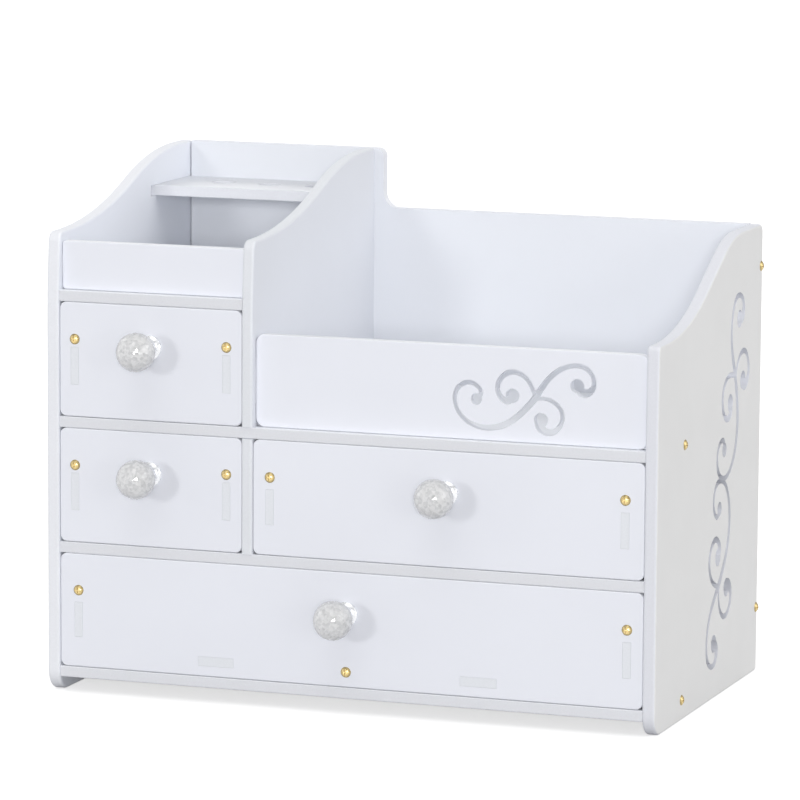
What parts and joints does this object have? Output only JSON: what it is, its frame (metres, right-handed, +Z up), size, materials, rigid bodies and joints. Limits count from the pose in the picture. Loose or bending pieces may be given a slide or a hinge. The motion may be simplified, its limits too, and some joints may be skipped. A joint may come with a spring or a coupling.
{
  "type": "makeup storage box",
  "caption": "Free-standing makeup storage box of white board with sliding drawers, crystal knobs, a brush shelf and open top trays.",
  "frame": {"origin": "bottom centre of the whole object's box, knobs included, on the surface that it stands on", "axes": "+X to the right seen from the front, +Y towards the back, so the drawers open along -Y, +Z up"},
  "size_m": [0.3428, 0.222, 0.28],
  "materials": {
    "white_board": "satin white foamed board with slightly greyer cut edges",
    "white_front_board": "satin cool white foamed board",
    "brass_screw": "bright yellow brass plating",
    "clear_crystal": "clear faceted acrylic crystal",
    "chrome_base": "polished",
    "steel_screw": "zinc plated"
  },
  "bodies": {
    "case": {"left_side_panel": "white_board", "right_side_panel": "white_board", "divider_panel": "white_board", "bottom_board": "white_board", "lower_shelf": "white_board", "middle_shelf": "white_board", "upper_shelf": "white_board", "back_board": "white_board", "left_tray_front": "white_front_board", "scroll_front_panel": "white_front_board", "brush_shelf": "white_board", "left_side_screws": "brass_screw", "right_side_screws": "brass_screw"},
    "top_drawer": {"top_drawer_front": "white_front_board", "top_drawer_back": "white_board", "top_drawer_left_side": "white_board", "top_drawer_right_side": "white_board", "top_drawer_bottom": "white_board", "top_drawer_front_screws": "brass_screw", "top_drawer_back_screws": "brass_screw", "top_drawer_knob_base": "chrome_base", "top_drawer_knob_crystal": "clear_crystal", "top_drawer_knob_screw": "steel_screw"},
    "middle_drawer": {"middle_drawer_front": "white_front_board", "middle_drawer_back": "white_board", "middle_drawer_left_side": "white_board", "middle_drawer_right_side": "white_board", "middle_drawer_bottom": "white_board", "middle_drawer_front_screws": "brass_screw", "middle_drawer_back_screws": "brass_screw", "middle_drawer_knob_base": "chrome_base", "middle_drawer_knob_crystal": "clear_crystal", "middle_drawer_knob_screw": "steel_screw"},
    "right_drawer": {"right_drawer_front": "white_front_board", "right_drawer_back": "white_board", "right_drawer_left_side": "white_board", "right_drawer_right_side": "white_board", "right_drawer_bottom": "white_board", "right_drawer_front_screws": "brass_screw", "right_drawer_back_screws": "brass_screw", "right_drawer_knob_base": "chrome_base", "right_drawer_knob_crystal": "clear_crystal", "right_drawer_knob_screw": "steel_screw"},
    "wide_drawer": {"wide_drawer_front": "white_front_board", "wide_drawer_back": "white_board", "wide_drawer_left_side": "white_board", "wide_drawer_right_side": "white_board", "wide_drawer_bottom": "white_board", "wide_drawer_front_screws": "brass_screw", "wide_drawer_back_screws": "brass_screw", "wide_drawer_knob_base": "chrome_base", "wide_drawer_knob_crystal": "clear_crystal", "wide_drawer_knob_screw": "steel_screw"}
  },
  "joints": [
    {"name": "top_drawer_slide", "type": "slide", "parent": "case", "child": "top_drawer", "axis": [0, -1, 0], "range_m": [0, 0.13]},
    {"name": "middle_drawer_slide", "type": "slide", "parent": "case", "child": "middle_drawer", "axis": [0, -1, 0], "range_m": [0, 0.13]},
    {"name": "right_drawer_slide", "type": "slide", "parent": "case", "child": "right_drawer", "axis": [0, -1, 0], "range_m": [0, 0.13]},
    {"name": "wide_drawer_slide", "type": "slide", "parent": "case", "child": "wide_drawer", "axis": [0, -1, 0], "range_m": [0, 0.13]}
  ]
}
